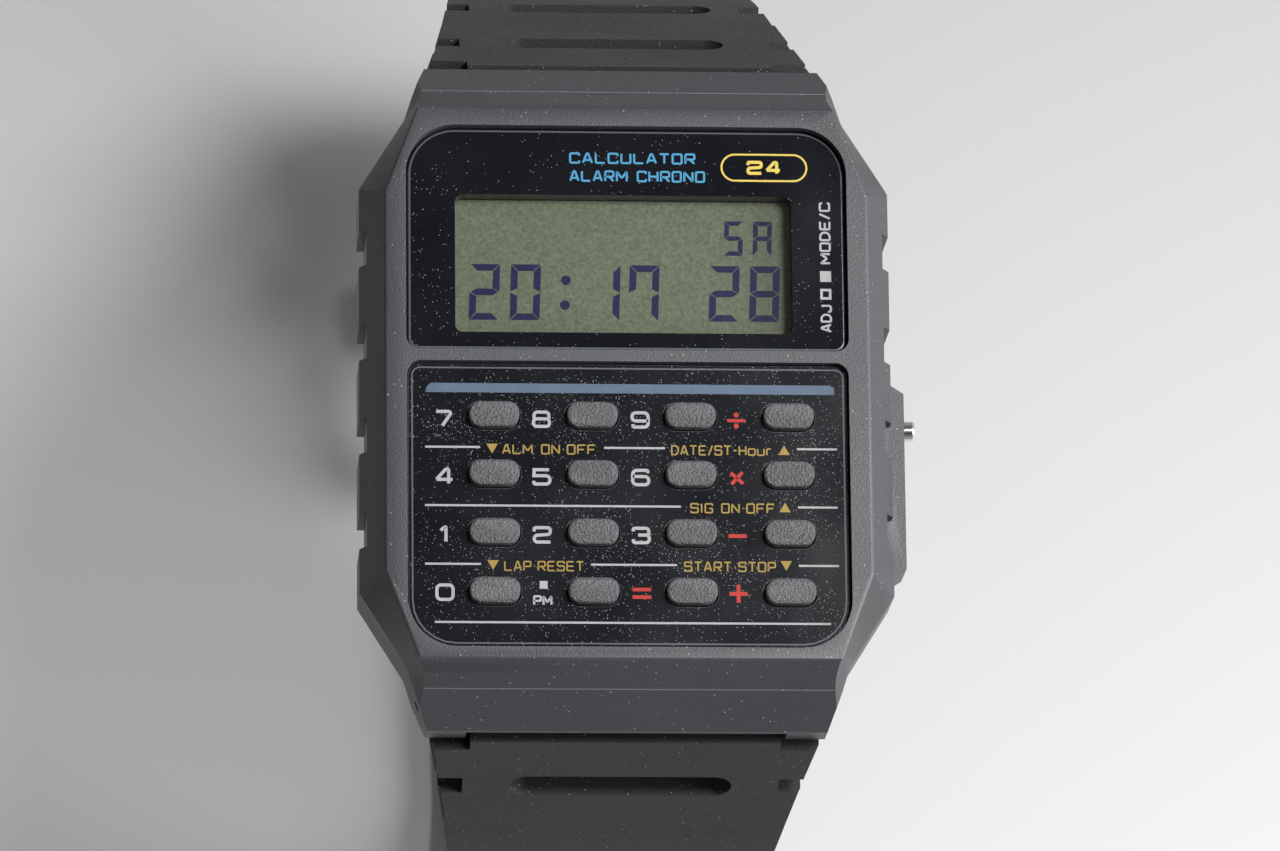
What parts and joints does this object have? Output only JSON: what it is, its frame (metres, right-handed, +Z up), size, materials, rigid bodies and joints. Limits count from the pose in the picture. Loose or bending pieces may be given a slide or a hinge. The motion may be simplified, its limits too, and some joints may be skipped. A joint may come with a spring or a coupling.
{
  "type": "calculator watch",
  "caption": "Resin digital wristwatch with a calculator keypad, liquid crystal display, side push buttons and an unbuckled two-part curved strap.",
  "frame": {"origin": "on the surface that the long strap half rests on, below the case's centre", "axes": "+Z up out of the watch face, +Y to 12 o'clock, +X to 3 o'clock"},
  "size_m": [0.0351, 0.0665, 0.0658],
  "materials": {
    "case_resin": "moulded resin, fine satin grain",
    "clear_window": "clear polished acrylic",
    "black_print": "black print under the window",
    "face_panel": "glossy black with fine marks",
    "rubber_mat": "soft moulded rubber",
    "polyester_film": "thin printed film",
    "lcd": "olive green display glass",
    "reflector_foil": "brushed reflector",
    "module_resin": "moulded frame resin",
    "board": "green solder resist",
    "chip_resin": "moulded chip resin",
    "bright_steel": "polished stainless steel",
    "copper_coil": "enamelled copper winding",
    "ceramic_chip": "ceramic capacitor blocks",
    "battery_steel": "nickel plated cell",
    "gold_spring": "gold plated spring strip",
    "buzzer_brass": "brass disc with ceramic face",
    "back_steel": "circularly brushed stainless steel",
    "screw_steel": "stainless screw heads",
    "strap_resin": "flexible resin, satin",
    "buckle_resin": "hard black resin",
    "key_resin": "textured grey resin",
    "button_steel": "polished steel"
  },
  "bodies": {
    "case": {"case_body": "case_resin", "display_window": "clear_window", "display_mask": "black_print", "keypad_panel": "face_panel", "key_mat": "rubber_mat", "key_contact_sheet": "polyester_film", "lcd_glass": "lcd", "lcd_reflector": "reflector_foil", "contact_strip_upper": "rubber_mat", "contact_strip_lower": "rubber_mat", "module_frame": "module_resin", "circuit_board": "board", "chip": "chip_resin", "quartz_crystal": "bright_steel", "coil": "copper_coil", "capacitors": "ceramic_chip", "insulator": "polyester_film", "battery": "battery_steel", "battery_contact": "gold_spring", "battery_clamp": "bright_steel", "buzzer_disc": "buzzer_brass", "buzzer_spring": "gold_spring", "button_contacts": "gold_spring", "back_gasket": "rubber_mat", "case_back": "back_steel", "back_screws": "screw_steel", "spring_bar_upper": "bright_steel", "spring_bar_lower": "bright_steel", "mode_button_spring": "bright_steel", "adjust_button_spring": "bright_steel"},
    "key_7": {"key_7": "key_resin"},
    "key_8": {"key_8": "key_resin"},
    "key_9": {"key_9": "key_resin"},
    "key_divide": {"key_divide": "key_resin"},
    "key_4": {"key_4": "key_resin"},
    "key_5": {"key_5": "key_resin"},
    "key_6": {"key_6": "key_resin"},
    "key_multiply": {"key_multiply": "key_resin"},
    "key_1": {"key_1": "key_resin"},
    "key_2": {"key_2": "key_resin"},
    "key_3": {"key_3": "key_resin"},
    "key_minus": {"key_minus": "key_resin"},
    "key_0": {"key_0": "key_resin"},
    "key_point": {"key_point": "key_resin"},
    "key_equals": {"key_equals": "key_resin"},
    "key_plus": {"key_plus": "key_resin"},
    "mode_button": {"mode_button": "button_steel", "mode_button_seal": "rubber_mat", "mode_button_clip": "bright_steel"},
    "adjust_button": {"adjust_button": "button_steel", "adjust_button_seal": "rubber_mat", "adjust_button_clip": "bright_steel"},
    "upper_strap": {"upper_strap": "strap_resin"},
    "keeper": {"keeper": "strap_resin"},
    "buckle": {"buckle": "buckle_resin", "buckle_pin": "bright_steel"},
    "tongue": {"tongue": "bright_steel"},
    "lower_strap": {"lower_strap": "strap_resin"}
  },
  "joints": [
    {"name": "key_7_press", "type": "slide", "parent": "case", "child": "key_7", "axis": [0, 0, -1], "range_m": [0, 0.00035], "stiffness_N_per_m": 600, "deforming": ["key_mat"]},
    {"name": "key_8_press", "type": "slide", "parent": "case", "child": "key_8", "axis": [0, 0, -1], "range_m": [0, 0.00035], "stiffness_N_per_m": 600, "deforming": ["key_mat"]},
    {"name": "key_9_press", "type": "slide", "parent": "case", "child": "key_9", "axis": [0, 0, -1], "range_m": [0, 0.00035], "stiffness_N_per_m": 600, "deforming": ["key_mat"]},
    {"name": "key_divide_press", "type": "slide", "parent": "case", "child": "key_divide", "axis": [0, 0, -1], "range_m": [0, 0.00035], "stiffness_N_per_m": 600, "deforming": ["key_mat"]},
    {"name": "key_4_press", "type": "slide", "parent": "case", "child": "key_4", "axis": [0, 0, -1], "range_m": [0, 0.00035], "stiffness_N_per_m": 600, "deforming": ["key_mat"]},
    {"name": "key_5_press", "type": "slide", "parent": "case", "child": "key_5", "axis": [0, 0, -1], "range_m": [0, 0.00035], "stiffness_N_per_m": 600, "deforming": ["key_mat"]},
    {"name": "key_6_press", "type": "slide", "parent": "case", "child": "key_6", "axis": [0, 0, -1], "range_m": [0, 0.00035], "stiffness_N_per_m": 600, "deforming": ["key_mat"]},
    {"name": "key_multiply_press", "type": "slide", "parent": "case", "child": "key_multiply", "axis": [0, 0, -1], "range_m": [0, 0.00035], "stiffness_N_per_m": 600, "deforming": ["key_mat"]},
    {"name": "key_1_press", "type": "slide", "parent": "case", "child": "key_1", "axis": [0, 0, -1], "range_m": [0, 0.00035], "stiffness_N_per_m": 600, "deforming": ["key_mat"]},
    {"name": "key_2_press", "type": "slide", "parent": "case", "child": "key_2", "axis": [0, 0, -1], "range_m": [0, 0.00035], "stiffness_N_per_m": 600, "deforming": ["key_mat"]},
    {"name": "key_3_press", "type": "slide", "parent": "case", "child": "key_3", "axis": [0, 0, -1], "range_m": [0, 0.00035], "stiffness_N_per_m": 600, "deforming": ["key_mat"]},
    {"name": "key_minus_press", "type": "slide", "parent": "case", "child": "key_minus", "axis": [0, 0, -1], "range_m": [0, 0.00035], "stiffness_N_per_m": 600, "deforming": ["key_mat"]},
    {"name": "key_0_press", "type": "slide", "parent": "case", "child": "key_0", "axis": [0, 0, -1], "range_m": [0, 0.00035], "stiffness_N_per_m": 600, "deforming": ["key_mat"]},
    {"name": "key_point_press", "type": "slide", "parent": "case", "child": "key_point", "axis": [0, 0, -1], "range_m": [0, 0.00035], "stiffness_N_per_m": 600, "deforming": ["key_mat"]},
    {"name": "key_equals_press", "type": "slide", "parent": "case", "child": "key_equals", "axis": [0, 0, -1], "range_m": [0, 0.00035], "stiffness_N_per_m": 600, "deforming": ["key_mat"]},
    {"name": "key_plus_press", "type": "slide", "parent": "case", "child": "key_plus", "axis": [0, 0, -1], "range_m": [0, 0.00035], "stiffness_N_per_m": 600, "deforming": ["key_mat"]},
    {"name": "mode_button_press", "type": "slide", "parent": "case", "child": "mode_button", "axis": [-1, 0, 0], "range_m": [0, 0.0005], "stiffness_N_per_m": 500, "deforming": ["mode_button_spring"]},
    {"name": "adjust_button_press", "type": "slide", "parent": "case", "child": "adjust_button", "axis": [-1, 0, 0], "range_m": [0, 0.0005], "stiffness_N_per_m": 500, "deforming": ["adjust_button_spring"]},
    {"name": "upper_strap_swing", "type": "hinge", "parent": "case", "child": "upper_strap", "pos_m": [0, 0.0198, 0.06111], "axis": [1, 0, 0], "range_deg": [0, 12]},
    {"name": "lower_strap_swing", "type": "hinge", "parent": "case", "child": "lower_strap", "pos_m": [0, -0.0198, 0.06111], "axis": [-1, 0, 0], "range_deg": [0, 25]},
    {"name": "keeper_slide", "type": "slide", "parent": "upper_strap", "child": "keeper", "axis": [0, -0.9659, -0.2588], "range_m": [-0.0015, 0.001]},
    {"name": "buckle_hinge", "type": "hinge", "parent": "upper_strap", "child": "buckle", "pos_m": [0, 0.01722, 0.0055], "axis": [1, 0, 0], "range_deg": [-35, 35]},
    {"name": "tongue_hinge", "type": "hinge", "parent": "buckle", "child": "tongue", "pos_m": [0, 0.01722, 0.0055], "axis": [1, 0, 0], "range_deg": [0, 50]}
  ]
}
